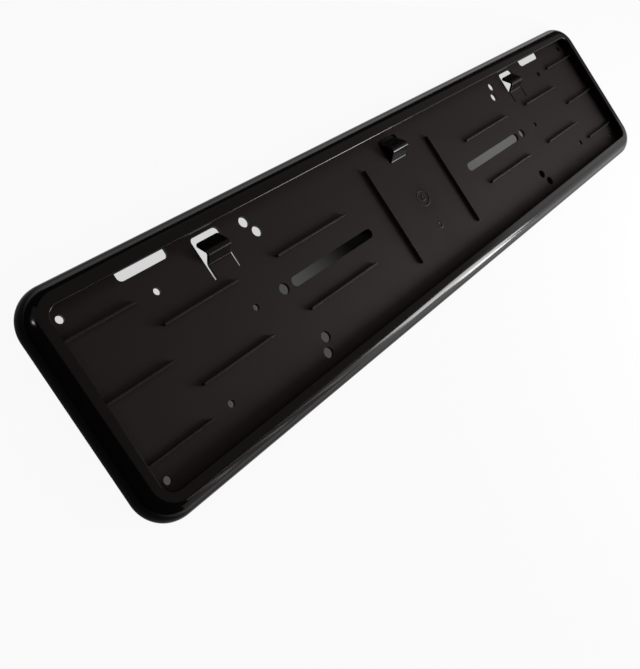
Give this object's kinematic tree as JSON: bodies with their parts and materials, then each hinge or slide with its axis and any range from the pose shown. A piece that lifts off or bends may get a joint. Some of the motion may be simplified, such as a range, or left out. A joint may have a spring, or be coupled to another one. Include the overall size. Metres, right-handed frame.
{
  "type": "number plate holder",
  "caption": "Black moulded holder for a long car number plate: flat panel with a raised lipped rim, support ribs, spring tongues and slots and holes for screws.",
  "frame": {"origin": "middle of the back, on the surface that the holder lies on or is screwed to", "axes": "+X along the plate, +Y up the plate as it hangs on a car, +Z out of the front"},
  "size_m": [0.535, 0.1228, 0.011],
  "materials": {
    "black_plastic": "glossy rim flank, satin lip and finely grained panel, all in one black plastic"
  },
  "bodies": {
    "root": {"plate_holder": "black_plastic"}
  },
  "joints": []
}
